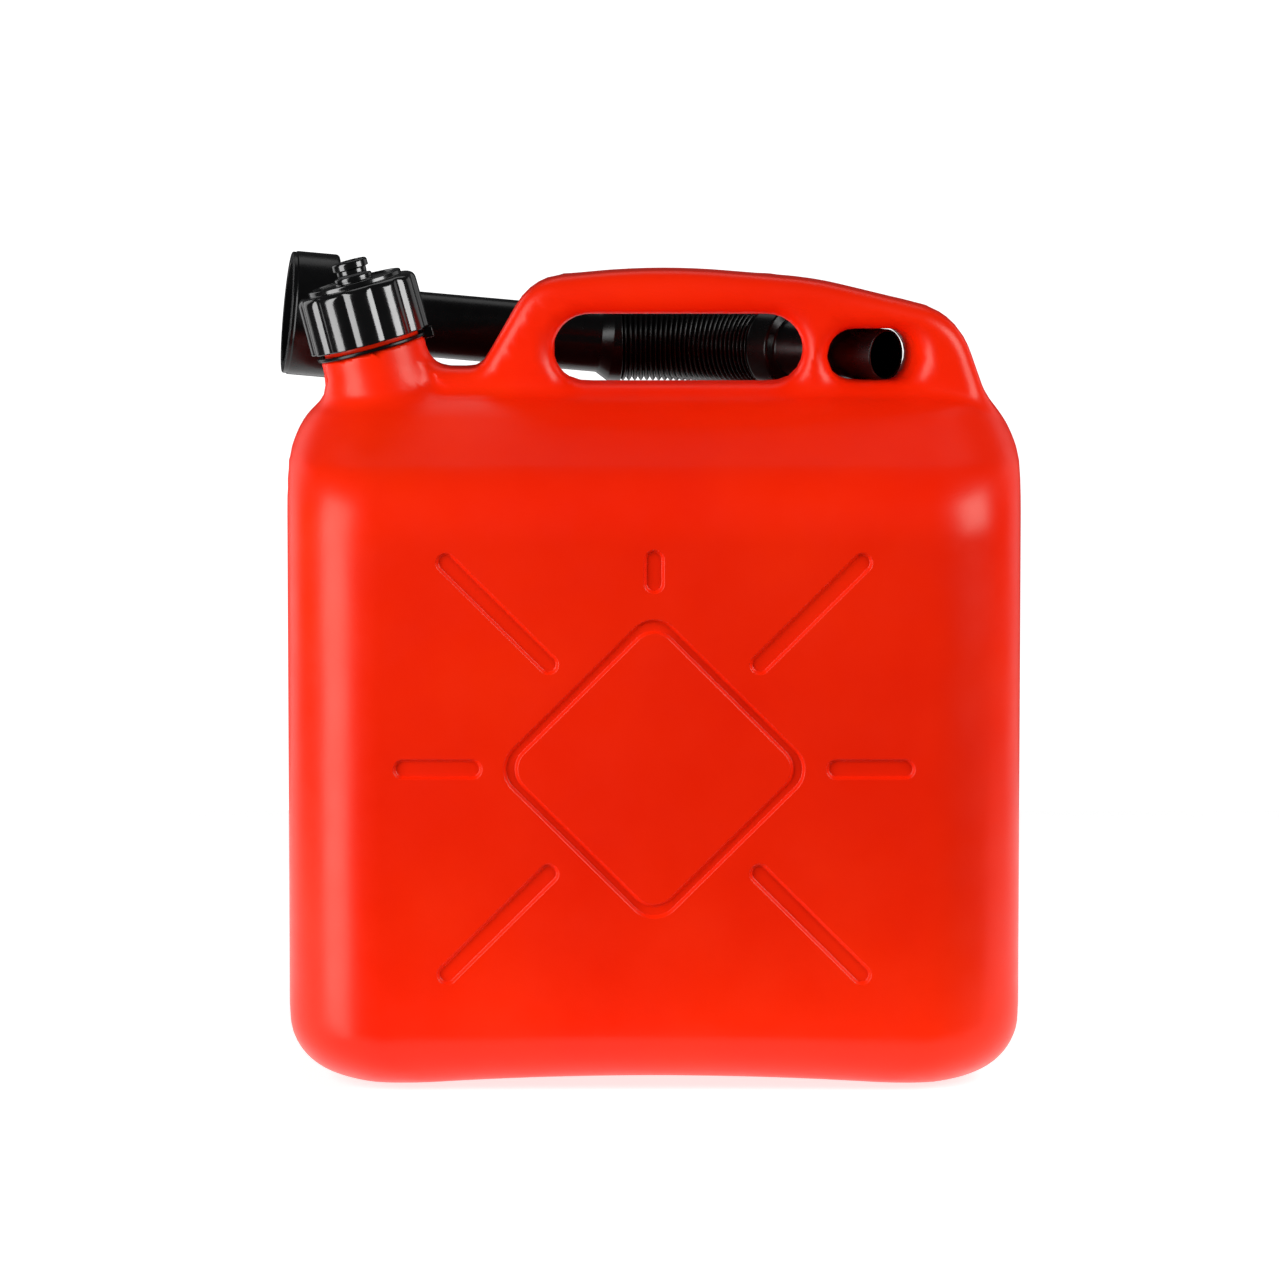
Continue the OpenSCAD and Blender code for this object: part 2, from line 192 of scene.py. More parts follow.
def round_corners(corners, steps):
    """Points of a closed outline whose corners (x, z, radius) are rounded"""
    points = []
    for i, (cx, cz, r) in enumerate(corners):
        c = np.array([cx, cz])
        u = np.array(corners[i - 1][:2]) - c
        v = np.array(corners[(i + 1) % len(corners)][:2]) - c
        u, v = u / np.linalg.norm(u), v / np.linalg.norm(v)
        half = math.acos(float(u @ v)) / 2
        if r == 0:
            points.append(c)
            continue
        middle = c + (u + v) / np.linalg.norm(u + v) * r / math.sin(half)
        start = c + u * r / math.tan(half) - middle
        turn = math.copysign(math.pi - 2 * half, u[1] * v[0] - u[0] * v[1])
        for k in range(steps + 1):
            t = turn * k / steps
            points.append(middle + [start[0] * math.cos(t) - start[1] * math.sin(t),
                                    start[0] * math.sin(t) + start[1] * math.cos(t)])
    return np.array(points)


def outline_distance(points, x, z):
    """Distance to a closed outline, less than zero inside it"""
    near = np.full(x.shape, 1e12)
    inside = np.zeros(x.shape, bool)
    for (ax, az), (bx, bz) in zip(points, np.roll(points, -1, axis=0)):
        ex, ez = bx - ax, bz - az
        px, pz = x - ax, z - az
        t = np.clip((px * ex + pz * ez) / (ex * ex + ez * ez), 0, 1)
        near = np.minimum(near, (px - ex * t) ** 2 + (pz - ez * t) ** 2)
        if az != bz:
            spans = (az <= z) != (bz <= z)
            inside ^= spans & (px < ex * pz / ez)
    return np.where(inside, -1, 1) * np.sqrt(near)


def box_distance(x, z, x0, x1, z0, z1):
    qx = np.abs(x - (x0 + x1) / 2) - (x1 - x0) / 2
    qz = np.abs(z - (z0 + z1) / 2) - (z1 - z0) / 2
    return np.hypot(np.maximum(qx, 0), np.maximum(qz, 0)) + np.minimum(np.maximum(qx, qz), 0)


def opening_distance(x, z, slot, floor, lean=0.0):
    """Distance to a round-ended opening over a floor, its right end moved left by lean"""
    x0, x1, h = slot
    r = h / 2
    along = x - np.clip(x, x0 + r, x1 - r - lean)
    return np.hypot(along, z - floor - r) - r


def plate(d, y, half, edge):
    """A flat shape of 2-D distance d, 2 * half thick, with rounded edges"""
    a, b = d + edge, np.abs(y) - half + edge
    return np.minimum(np.maximum(a, b), 0) + np.hypot(np.maximum(a, 0), np.maximum(b, 0)) - edge


HANDLE_OUTLINE = round_corners(HANDLE_CORNERS, 12)


def handle_shapes(x, z):
    """2-D distances of the handle with its grip opening and of the hollow behind the pillar"""
    grip = opening_distance(x, z, GRIP, OPENING_Z)
    x0, x1 = GRIP[1] - GRIP[2] / 2, SPOUT_HOLE[0] + 8
    relief = box_distance(x, z, x0, x1, OPENING_Z, OPENING_Z + RELIEF_H)
    return smooth_max(outline_distance(HANDLE_OUTLINE, x, z), -grip, 1), relief


def handle_field(shapes, x, y, z):
    outline, relief = shapes
    lean = (SPOUT_HOLE[1] - HOLE_BACK_X1) * (0.5 + y / HANDLE_D)
    hole = opening_distance(x, z, SPOUT_HOLE, SPOUT_HOLE_Z, lean)
    solid = plate(smooth_max(outline, -hole, 1), y, HANDLE_D / 2, HANDLE_EDGE)
    return smooth_max(solid, -np.maximum(relief, PILLAR_BACK - y), 3)


NECK_DEPTH = 46.0                   # how far the neck's cylinders reach into the tank
RING_BELOW = 2.5                    # the ring's joint lies this far under the cap's foot
NECK_AXIS = np.array(JOINT["ring_turn"]["axis"])
NECK_FOOT = np.array(JOINT["ring_turn"]["pos_m"]) / MM + RING_BELOW * NECK_AXIS


def neck_field(x, y, z):
    """Outside of the neck below its ring, and its bore"""
    dx, dz = x - NECK_FOOT[0], z - NECK_FOOT[2]
    s = dx * NECK_AXIS[0] + dz * NECK_AXIS[2]
    rho = np.sqrt(np.maximum(dx * dx + y * y + dz * dz - s * s, 0))
    edge = 1.2
    a, b = rho - NECK_OD / 2 + edge, s - NECK_TOP + edge
    outside = np.minimum(np.maximum(a, b), 0) + np.hypot(np.maximum(a, 0), np.maximum(b, 0)) - edge
    return np.maximum(outside, -s - NECK_DEPTH), np.maximum(rho - NECK_BORE / 2, -s - NECK_DEPTH)


# ------------------------------------------------------------------ pattern of the pressed grooves
def ring_distance(x, z, side, r):
    """Distance to a square that stands on its corner, with corners rounded to r"""
    u, v = np.abs(x + z) / math.sqrt(2), np.abs(x - z) / math.sqrt(2)
    qu, qv = u - side / 2 + r, v - side / 2 + r
    return np.hypot(np.maximum(qu, 0), np.maximum(qv, 0)) + np.minimum(np.maximum(qu, qv), 0) - r


RAYS = [tuple((x * reach, z * reach) for reach in RAY_DIAGONAL) for x in (-1, 1) for z in (-1, 1)]
RAYS += [tuple((x * reach, 0) for reach in RAY_SIDE) for x in (-1, 1)]
RAYS += [tuple((0, reach) for reach in RAY_TOP)]


def ray_ends(ray):
    """Middles of a ray's round ends"""
    a, b = np.array(ray, float)
    along = (b - a) / np.linalg.norm(b - a)
    return a + along * RAY_W / 2, b - along * RAY_W / 2


def pattern_distance(x, z):
    z = z - PATTERN_Z
    outer = ring_distance(x, z, FRAME_SIDE, FRAME_R)
    inner = ring_distance(x, z, FRAME_IN_SIDE, FRAME_IN_R)
    d = np.maximum(outer, -inner)
    for ray in RAYS:
        a, b = ray_ends(ray)
        e = b - a
        t = np.clip(((x - a[0]) * e[0] + (z - a[1]) * e[1]) / (e @ e), 0, 1)
        d = np.minimum(d, np.hypot(x - a[0] - e[0] * t, z - a[1] - e[1] * t) - RAY_W / 2)
    return d


def groove_depth(x, z):
    """A groove has sloping walls of an even pitch, rounded at their top and foot"""
    t = np.clip(-pattern_distance(x, z) / GROOVE_WALL, 0, 1)
    bend = 0.25
    low, high = np.minimum(t, bend), np.maximum(t - 1 + bend, 0)
    return GROOVE_DEPTH * (t - low + (low * low - high * high) / (2 * bend)) / (1 - bend)


# ------------------------------------------------------------------ the can's whole field
WALL_SHOWN = 3.0                    # thickness of the hollow tank's wall
HANDLE_FILLET, NECK_FILLET, INNER_FILLET = 5.0, 9.0, 0.8
TOP_FROM = 245.0                    # height over which the domed top and the handle count
TOP_LIMIT = 345.0                   # height where the grid ends, over the handle
FAR = 50.0                          # the handle's distance where it is left out
BAND = 3                            # voxels that the grid keeps on each side of the surface


def can_field(x, y, z, shapes=None, with_grooves=False, top=True):
    tank = tank_field(x, y, z, top)
    if shapes is None:
        shapes = handle_shapes(x, z)
    body = smooth_min(tank, handle_field(shapes, x, y, z), HANDLE_FILLET)
    neck, bore = neck_field(x, y, z)
    body = smooth_min(body, neck, NECK_FILLET)
    if with_grooves:
        body = body + groove_depth(x, z) * (np.abs(y) > HALF_D - 6)
    body = smooth_max(body, -(tank + WALL_SHOWN), INNER_FILLET)
    return smooth_max(body, -bore, INNER_FILLET)


def field_at(p, with_grooves=False):
    """The field at points, leaving out the handle where it is far away"""
    out = np.empty(len(p))
    high = p[:, 2] > TOP_FROM
    q = p[high]
    out[high] = can_field(q[:, 0], q[:, 1], q[:, 2], None, with_grooves)
    q = p[~high]
    far = np.full(len(q), FAR)
    out[~high] = can_field(q[:, 0], q[:, 1], q[:, 2], (far, far), with_grooves, False)
    return out


def gradient_at(p, with_grooves=False, e=0.04):
    g = np.empty_like(p)
    for k in range(3):
        step = np.zeros(3)
        step[k] = e
        g[:, k] = (field_at(p + step, with_grooves) - field_at(p - step, with_grooves)) / (2 * e)
    return g


def can_surface(voxel, adaptivity):
    """Vertices and faces of the can's surface, every vertex moved onto it"""
    band = BAND * voxel
    lo = np.array([-HALF_W - band, 0.0, -band])
    hi = np.array([HALF_W + band, HALF_D + band, TOP_LIMIT])
    nx, ny, nz = np.ceil((hi - lo) / voxel).astype(int)
    x, z = lo[0] + voxel * np.arange(nx), lo[2] + voxel * np.arange(nz)
    y = voxel * np.arange(1 - ny, ny)
    z_high = np.searchsorted(z, TOP_FROM)
    gx, gz = np.meshgrid(x, z[z_high:], indexing="ij")
    shapes = [s[:, None, :] for s in handle_shapes(gx, gz)]
    whole = np.empty((nx, 2 * ny - 1, nz), np.float32)
    far = np.full((1, 1, 1), FAR)
    gx, gy = x[:, None, None], y[None, :, None]
    low = can_field(gx, gy[:, ny - 1:], z[None, None, :z_high], (far, far), top=False)
    whole[:, :, :z_high] = np.concatenate([low[:, :0:-1], low], axis=1)
    whole[:, :, z_high:] = can_field(gx, gy, z[None, None, z_high:], shapes)
    whole = np.clip(whole, -band, band)
    grid = openvdb.FloatGrid(band)
    grid.copyFromArray(np.ascontiguousarray(whole))
    points, triangles, quads = grid.convertToPolygons(isovalue=0.0, adaptivity=adaptivity)
    p = np.array(points, float) * voxel + [lo[0], -voxel * (ny - 1), lo[2]]
    start = p.copy()
    for _ in range(5):
        g = gradient_at(p)
        step = 0.8 * field_at(p) / np.maximum((g * g).sum(1), 0.2)
        p -= np.clip(step, -voxel / 2, voxel / 2)[:, None] * g
    lost = np.linalg.norm(p - start, axis=1) > 1.5 * voxel
    p[lost] = start[lost]
    return p, [tuple(f) for f in triangles] + [tuple(f) for f in quads]


# ------------------------------------------------------------------ meshes
def make_object(name, points, faces, normals=None):
    """A smooth object from points in mm. Without normals, larger faces weigh more in them."""
    points = np.asarray(points, float)
    mesh = bpy.data.meshes.new(name)
    mesh.from_pydata((points * MM).tolist(), [], [tuple(int(i) for i in f) for f in faces])
    mesh.validate(clean_customdata=False)
    mesh.polygons.foreach_set("use_smooth", [True] * len(mesh.polygons))
    if normals is None:
        normals = face_weighted_normals(mesh)
    mesh.normals_split_custom_set_from_vertices([tuple(n) for n in normals])
    obj = bpy.data.objects.new(name, mesh)
    bpy.context.scene.collection.objects.link(obj)
    return obj


def face_weighted_normals(mesh):
    total = np.zeros((len(mesh.vertices), 3))
    loop_vertex = np.empty(len(mesh.loops), int)
    mesh.loops.foreach_get("vertex_index", loop_vertex)
    for polygon in mesh.polygons:
        n = np.array(polygon.normal) * polygon.area
        total[loop_vertex[polygon.loop_start:polygon.loop_start + polygon.loop_total]] += n
    return total / np.maximum(np.linalg.norm(total, axis=1), 1e-12)[:, None]


# ------------------------------------------------------------------ the can
PATCH = (-111.0, 111.0, 32.0, 231.6)   # x0, x1, z0, z1 of the flat part that carries the grooves
PATCH_MARGIN = 15.0                    # faces up to this far beside the patch are cut too
OUTER_FACE = HALF_D - 1.2              # past this depth lies only the front or the back face
GROOVE_LINES = 7                       # lines of vertices down a groove's wall
VOXEL, QUICK_VOXEL, ADAPTIVITY = 1.7, 3.4, 0.1


def on_outer_face(f):
    return all(abs(v.co.y) > OUTER_FACE for v in f.verts)


def cut_round_patch(points, faces):
    """The mesh with clean cuts round both patches, and without the faces inside them"""
    bm = bmesh.new()
    for p in points:
        bm.verts.new(p)
    bm.verts.ensure_lookup_table()
    for f in faces:
        bm.faces.new([bm.verts[i] for i in f])
    x0, x1, z0, z1 = PATCH
    for place, normal in (((x0, 0, 0), (1, 0, 0)), ((x1, 0, 0), (1, 0, 0)),
                          ((0, 0, z0), (0, 0, 1)), ((0, 0, z1), (0, 0, 1))):
        near = [f for f in bm.faces
                if on_outer_face(f) and x0 - PATCH_MARGIN < f.verts[0].co.x < x1 + PATCH_MARGIN]
        edges = list(dict.fromkeys(e for f in near for e in f.edges))
        verts = list(dict.fromkeys(v for f in near for v in f.verts))
        bmesh.ops.bisect_plane(bm, geom=near + edges + verts, dist=1e-4, plane_co=place, plane_no=normal)
    inside = [f for f in bm.faces if on_outer_face(f)
              and x0 < f.calc_center_median().x < x1 and z0 < f.calc_center_median().z < z1]
    bmesh.ops.delete(bm, geom=inside, context="FACES")
    return bm


def loop_round(bm, side):
    """The rim of the hole on one side (-1 front, 1 back), as vertices in order"""
    edges = [e for e in bm.edges if e.is_boundary and e.verts[0].co.y * side > OUTER_FACE]
    links = {}
    for e in edges:
        for a, b in (e.verts, reversed(e.verts)):
            links.setdefault(a, []).append(b)
    start = min(links, key=lambda v: (round(v.co.z, 3), v.co.x))
    loop, last = [start], None
    while True:
        following = [v for v in links[loop[-1]] if v is not last]
        last = loop[-1]
        if following[0] is start:
            return loop
        loop.append(following[0])


def offset_stadium(ray, d, steps=14):
    a, b = ray_ends(ray)
    r = RAY_W / 2 + d
    turn = math.atan2(b[1] - a[1], b[0] - a[0])
    points = []
    for middle, t0 in ((b, turn - math.pi / 2), (a, turn + math.pi / 2)):
        for k in range(steps + 1):
            t = t0 + math.pi * k / steps
            points.append((middle[0] + r * math.cos(t), middle[1] + r * math.sin(t)))
    return points


def offset_ring(side, corner, d, steps=10):
    half, r = side / 2 + d, corner + d
    points = []
    middle = (half - r) * math.sqrt(2)
    for q in range(4):
        turn = q * math.pi / 2
        cx, cz = middle * math.cos(turn), middle * math.sin(turn)
        for k in range(steps + 1):
            t = turn - math.pi / 4 + math.pi / 2 * k / steps
            points.append((cx + r * math.cos(t), cz + r * math.sin(t)))
    return points


def groove_loops():
    """Closed lines down the sloping wall inside every groove outline"""
    loops = []
    for k in range(GROOVE_LINES):
        d = GROOVE_WALL * k / (GROOVE_LINES - 1)
        loops += [offset_stadium(ray, -d) for ray in RAYS]
        loops.append(offset_ring(FRAME_SIDE, FRAME_R, -d))
        loops.append(offset_ring(FRAME_IN_SIDE, FRAME_IN_R, d))
    return [[(x, z + PATTERN_Z) for x, z in loop] for loop in loops]


def fill_patch(bm, side):
    rim = loop_round(bm, side)
    flat = [Vector((v.co.x, v.co.z)) for v in rim]
    edges = []
    for loop in groove_loops():
        first = len(flat)
        flat += [Vector(p) for p in loop]
        edges += [(first + i, first + (i + 1) % len(loop)) for i in range(len(loop))]
    for z in (BEND_Z, BEND_Z + 1.5, BEND_Z + 3):
        for x in np.arange(PATCH[0] + 4, PATCH[1] - 3, 4.0):
            if pattern_distance(x, z) > 1.5:
                flat.append(Vector((x, z)))
    out, _, faces, origin, _, _ = delaunay_2d_cdt(flat, edges, [list(range(len(rim)))], 1, 1e-4)
    out_x = np.array([v.x for v in out])
    out_z = np.array([v.y for v in out])
    out_y = side * (half_depth(out_z)[0] - groove_depth(out_x, out_z))
    vertices = []
    for i, source in enumerate(origin):
        on_rim = [k for k in source if k < len(rim)]
        vertices.append(rim[on_rim[0]] if on_rim else bm.verts.new((out_x[i], out_y[i], out_z[i])))
    for f in faces:
        corners = [vertices[i] for i in f]
        bm.faces.new(corners if side < 0 else corners[::-1])


def build_can():
    points, faces = can_surface(VOXEL, ADAPTIVITY)
    bm = cut_round_patch(points, faces)
    for side in (-1, 1):
        fill_patch(bm, side)
    bm.normal_update()
    bm.verts.index_update()
    points = np.array([v.co for v in bm.verts], float)
    faces = [[v.index for v in f.verts] for f in bm.faces]
    bm.free()
    normals = gradient_at(points, True)
    normals /= np.linalg.norm(normals, axis=1)[:, None]
    return make_object("can_shell", points, faces, normals)


# ------------------------------------------------------------------ turned pieces
class Axis:
    """Places points given as radius, angle and distance s along an axis, in mm"""

    def __init__(self, origin, direction, side):
        self.origin = np.asarray(origin, float)
        self.along = np.asarray(direction, float) / np.linalg.norm(direction)
        side = np.asarray(side, float)
        side = side - (side @ self.along) * self.along
        self.u = side / np.linalg.norm(side)
        self.v = np.cross(self.along, self.u)

    def place(self, r, t, s):
        r, t, s = np.broadcast_arrays(r, t, s)
        return (self.origin + np.multiply.outer(r * np.cos(t), self.u)
                + np.multiply.outer(r * np.sin(t), self.v) + np.multiply.outer(s, self.along))


def soft_profile(corners, steps=4):
    """A closed (radius, s) outline from corners (radius, s, rounding)"""
    points = []
    n = len(corners)
    for i, (cr, cs, rounding) in enumerate(corners):
        c = np.array([cr, cs], float)
        u = np.array(corners[i - 1][:2], float) - c
        v = np.array(corners[(i + 1) % n][:2], float) - c
        lu, lv = np.linalg.norm(u), np.linalg.norm(v)
        u, v = u / lu, v / lv
        half = math.acos(max(-1.0, min(1.0, float(u @ v)))) / 2
        reach = rounding / math.tan(half) if rounding else 0
        if not rounding or half > 1.55:
            points.append(c)
            continue
        reach = min(reach, 0.48 * lu, 0.48 * lv)
        for k in range(steps + 1):
            q = k / steps
            points.append(c + u * reach * (1 - q) ** 2 + v * reach * q ** 2)
    return np.array(points)


def turned_faces(rows, segments, closed):
    faces = []
    for i in range(rows if closed else rows - 1):
        j = (i + 1) % rows
        for k in range(segments):
            m = (k + 1) % segments
            faces.append((i * segments + k, i * segments + m, j * segments + m, j * segments + k))
    return faces


def turn(name, axis, corners, segments=96, steps=4, reshape=None):
    """A body of revolution round an axis. reshape(r, t, s) may alter the radius and place."""
    profile = soft_profile(corners, steps)
    t = np.linspace(0, 2 * math.pi, segments, endpoint=False)[None, :]
    r, s = profile[:, 0][:, None] + 0 * t, profile[:, 1][:, None] + 0 * t
    if reshape is not None:
        r, s = reshape(r, t + 0 * r, s)
    points = axis.place(r, t, s).reshape(-1, 3)
    return make_object(name, points, turned_faces(len(profile), segments, True))


def densify(corners, s0, s1, step):
    """Splits the outline's edges that run between s0 and s1 so that a thread can be raised on them"""
    out = []
    for i, (r, s, rounding) in enumerate(corners):
        out.append((r, s, rounding))
        nr, ns, _ = corners[(i + 1) % len(corners)]
        if {s, ns} == {s0, s1}:
            count = max(2, int(abs(ns - s) / step))
            for k in range(1, count):
                q = k / count
                out.append((r + (nr - r) * q, s + (ns - s) * q, 0))
    return out


def thread(t, s, start, end, height):
    """Height of a helical thread with rounded flanks that fades in and out at its ends"""
    turns = (s - start) / THREAD_PITCH - t / (2 * math.pi)
    phase = np.abs((turns + 0.5) % 1 - 0.5) * THREAD_PITCH
    helix_s = start + (np.round(turns) + t / (2 * math.pi)) * THREAD_PITCH
    ends = smooth_step((helix_s - start) / 3) * smooth_step((end - helix_s) / 3)
    return height * smooth_step((1.45 - phase) / 0.9) * ends


NECK = Axis(NECK_FOOT, NECK_AXIS, (NECK_AXIS[2], 0, -NECK_AXIS[0]))
TUBE_DIR = np.array(JOINT["collar_turn"]["axis"])
TUBE_MOUTH = np.array(JOINT["collar_turn"]["pos_m"]) / MM
TUBE = Axis(TUBE_MOUTH, TUBE_DIR, (0, 0, 1))
NOZZLE_DIR = -np.array(JOINT["spout_slide"]["axis"])
HOSE_BEND_R, HOSE_D, HOSE_ROOT_D, HOSE_BORE, HOSE_RINGS = 82.3, 32.6, 29.4, 26.6, 27
TUBE_LEN, TUBE_D, TUBE_BORE, CUFF_LEN, TUBE_CUFF_LEN, CUFF_D = 141.2, 27.2, 23.0, 11.0, 6.0, 33.4
NOZZLE_LEN, NOZZLE_ROOT_D, NOZZLE_NECK_D, NOZZLE_BORE_R = 63.2, 25.5, 22.2, 11.0
TIP_D, TIP_BORE, OUTLET_LEN = 21.4, 19.4, 26.0
COLLAR_R, COLLAR_LEN, COLLAR_END_T, COLLAR_HOLE_R = 26.0, 20.0, 2.5, 13.9
FLANGE_R, FLANGE_S, FLANGE_T = 20.5, 14.5, 2.8
HOSE_GAP = 0.05                     # between the tube's end and the hose
THREAD_PITCH, THREAD_BORE_R = 6.0, 21.0
HOSE_END = TUBE_MOUTH + TUBE_LEN * TUBE_DIR / np.linalg.norm(TUBE_DIR)
LEVEL_TUBE = np.array([TUBE_DIR[0], TUBE_DIR[1], 0]) / math.hypot(TUBE_DIR[0], TUBE_DIR[1])
HOSE_TURN = math.acos(float(LEVEL_TUBE @ NOZZLE_DIR))
BEND_CENTRE = HOSE_END + HOSE_BEND_R * np.array([LEVEL_TUBE[1], -LEVEL_TUBE[0], 0])
NOZZLE_END = BEND_CENTRE + HOSE_BEND_R * np.array([-NOZZLE_DIR[1], NOZZLE_DIR[0], 0])
NOZZLE = Axis(NOZZLE_END, NOZZLE_DIR, (0, 0, 1))

RIM_S, SEAT_R, FINISH_R = 18.5, 20.0, 19.5
RING_R0, RING_R1, RING_S0, RING_S1 = 20.4, 23.25, -3.3, -1.8


def build_neck_finish():
    """The threaded end of the neck inside the cap"""
    def raise_thread(r, t, s):
        outside = (r > FINISH_R - 1) & (s > 0.5)
        return r + outside * thread(t, s, 3.2, 15.5, 0.85), s

    bore_r, low, high = NECK_BORE / 2, 1.0, RIM_S - 1.5
    corners = [(bore_r, NECK_TOP, 0), (SEAT_R, NECK_TOP, 0), (SEAT_R, 0.0, 0.3), (FINISH_R, 0.4, 0.2),
               (FINISH_R, low, 0), (FINISH_R, high, 0), (FINISH_R, RIM_S, 0.7), (bore_r, RIM_S, 0.9)]
    return turn("neck_finish", NECK, densify(corners, low, high, 0.35), 120, 4, raise_thread)


def build_neck_ring():
    """Ring under the cap, and its lug as a child object: a block with rounded edges"""
    ring = turn("neck_ring_shell", NECK, [(RING_R0, RING_S0, 0.2), (RING_R1, RING_S0, 0.5),
                                          (RING_R1, RING_S1, 0.5), (RING_R0, RING_S1, 0.2)], 120)
    lug = soft_block("neck_ring_lug", NECK, (NECK_OD / 2 + 0.5, 26.3), (-3.0, 3.0), (-5.0, -0.5), 0.6)
    lug.parent = ring
    return ring


def soft_block(name, axis, out, across, along, edge):
    """A block with rounded edges: out from the axis, across it and along it"""
    bm = bmesh.new()
    corners = [bm.verts.new((x, y, z)) for x in out for y in across for z in along]
    for face in ((0, 1, 3, 2), (4, 6, 7, 5), (0, 4, 5, 1), (2, 3, 7, 6), (0, 2, 6, 4), (1, 5, 7, 3)):
        bm.faces.new([corners[i] for i in face])
    bmesh.ops.bevel(bm, geom=list(bm.edges), offset=edge, segments=4, profile=0.5, affect="EDGES")
    bmesh.ops.recalc_face_normals(bm, faces=list(bm.faces))
    bm.verts.index_update()
    p = np.array([v.co for v in bm.verts])
    faces = [[v.index for v in f.verts] for f in bm.faces]
    bm.free()
    points = axis.origin + p @ np.array([axis.u, axis.v, axis.along])
    return make_object(name, points, faces)


# ------------------------------------------------------------------ cap and vent
CAP_R, LOBES, LOBE_R, CAP_H, CAP_EDGE = 25.5, 12, 8.8, 24.0, 4.0
LOBE_TURN = 0.1                     # turn of the lobes, as a part of one lobe
CEILING_S, DISC_R, DISC_S, BOSS_R, BOSS_S = 20.5, 19.75, 26.0, 7.9, 28.0
BARB_ROOM_S, BARB_ROOM_R, VENT_HOLE_R = 24.6, 4.7, 3.15
STEM_R, STEM_S, BARB_R, VENT_WAIST_R, VENT_HEAD_R, VENT_TOP_S = 3.0, 19.0, 4.2, 6.3, 7.5, 34.3


def lobe_radius(t):
    """Outline of the cap's skirt: twelve round lobes with narrow rounded valleys"""
    pitch = 2 * math.pi / LOBES
    q = (t / pitch - LOBE_TURN + 0.5) % 1 - 0.5
    centre = CAP_R - LOBE_R
    here = centre * np.cos(q * pitch) + np.sqrt(LOBE_R ** 2 - (centre * np.sin(q * pitch)) ** 2)
    return here + 0.28 * smooth_step(1 - (0.5 - np.abs(q)) / 0.09)


def near_bore(r):
    return (r < THREAD_BORE_R + 0.2) & (r > THREAD_BORE_R - 0.5)


def build_cap():
    """Cap with a lobed skirt, a rounded top edge, a raised disc, the vent's boss and a thread"""
    def reshape(r, t, s):
        skirt = (r > CAP_R - 3) & (s < CAP_H + 0.01)
        lobed = lobe_radius(t) - (CAP_R - r) - 0.25 * np.clip(s / CAP_H, 0, 1)
        rise = np.clip(s - (CAP_H - CAP_EDGE), 0, CAP_EDGE)
        dome = CAP_R - CAP_EDGE + np.sqrt(CAP_EDGE ** 2 - rise ** 2)
        r = np.where(skirt, smooth_min(lobed, dome, 0.9), r)
        in_bore = near_bore(r) & (s > 0.4) & (s < CEILING_S - 0.5)
        return r - in_bore * thread(t, s, 2.6, 17.0, 0.35), s

    corners = [(THREAD_BORE_R, 0.0, 0.3), (CAP_R, 0.0, 0.55)]
    corners += [(CAP_R, s, 0) for s in (1.2, 6, 12, CAP_H - CAP_EDGE)]
    corners += [(CAP_R, CAP_H - CAP_EDGE * (1 - math.sin(a)), 0)
                for a in np.radians([15, 30, 45, 58, 69, 78, 84])]
    corners += [(CAP_R - 2.6, CAP_H - 0.001, 0)]
    corners += [(DISC_R + 0.7, CAP_H, 0.3), (DISC_R, CAP_H, 0.35), (DISC_R, DISC_S, 0.75),
                (DISC_R - 1.9, DISC_S, 0.5), (DISC_R - 2.5, DISC_S - 0.6, 0.5),
                (BOSS_R, DISC_S - 0.6, 0.7), (BOSS_R, BOSS_S, 0.6),
                (VENT_HOLE_R, BOSS_S, 0.25), (VENT_HOLE_R, BARB_ROOM_S, 0),
                (BARB_ROOM_R, BARB_ROOM_S, 0), (BARB_ROOM_R, CEILING_S, 0.2),
                (THREAD_BORE_R, CEILING_S, 0.4)]
    corners = densify(corners, CEILING_S, 0.0, 0.45)
    return turn("cap_shell", NECK, corners, 288, 4, reshape)


def build_vent():
    """Press-down vent plug: waist and rounded head over a barbed stem"""
    return turn("vent_shell", NECK, [
        (0.01, STEM_S, 0), (STEM_R, STEM_S, 0.2), (BARB_R, 20.4, 0.2), (STEM_R, 20.9, 0.1),
        (STEM_R, 28.8, 0), (VENT_WAIST_R, 28.8, 0.4), (VENT_WAIST_R, 30.8, 0.25),
        (VENT_HEAD_R, 31.0, 0.4), (VENT_HEAD_R, VENT_TOP_S, 1.3), (4.2, VENT_TOP_S, 0.5),
        (3.8, VENT_TOP_S - 0.5, 0.4), (0.01, VENT_TOP_S - 0.5, 0)], 72, 5)


# ------------------------------------------------------------------ spout
def build_collar():
    """Screw collar at the cap end of the spout, with a thread inside and a hole for the tube"""
    def raise_thread(r, t, s):
        inside = near_bore(r) & (s > 0.8) & (s < 14)
        return r - inside * thread(t, s, 1.5, 14.0, 0.6), s

    foot_r, inner_s = COLLAR_R - 0.4, COLLAR_LEN - COLLAR_END_T
    corners = [(THREAD_BORE_R, 0.0, 0.5), (foot_r, 0.0, 0.9), (foot_r, 1.6, 0.3), (COLLAR_R, 2.2, 0.5),
               (COLLAR_R, COLLAR_LEN, 1.8), (COLLAR_HOLE_R, COLLAR_LEN, 0.6),
               (COLLAR_HOLE_R, inner_s, 0.3), (THREAD_BORE_R, inner_s, 0.6)]
    return turn("collar_shell", TUBE, densify(corners, inner_s, 0.0, 0.4), 144, 5, raise_thread)


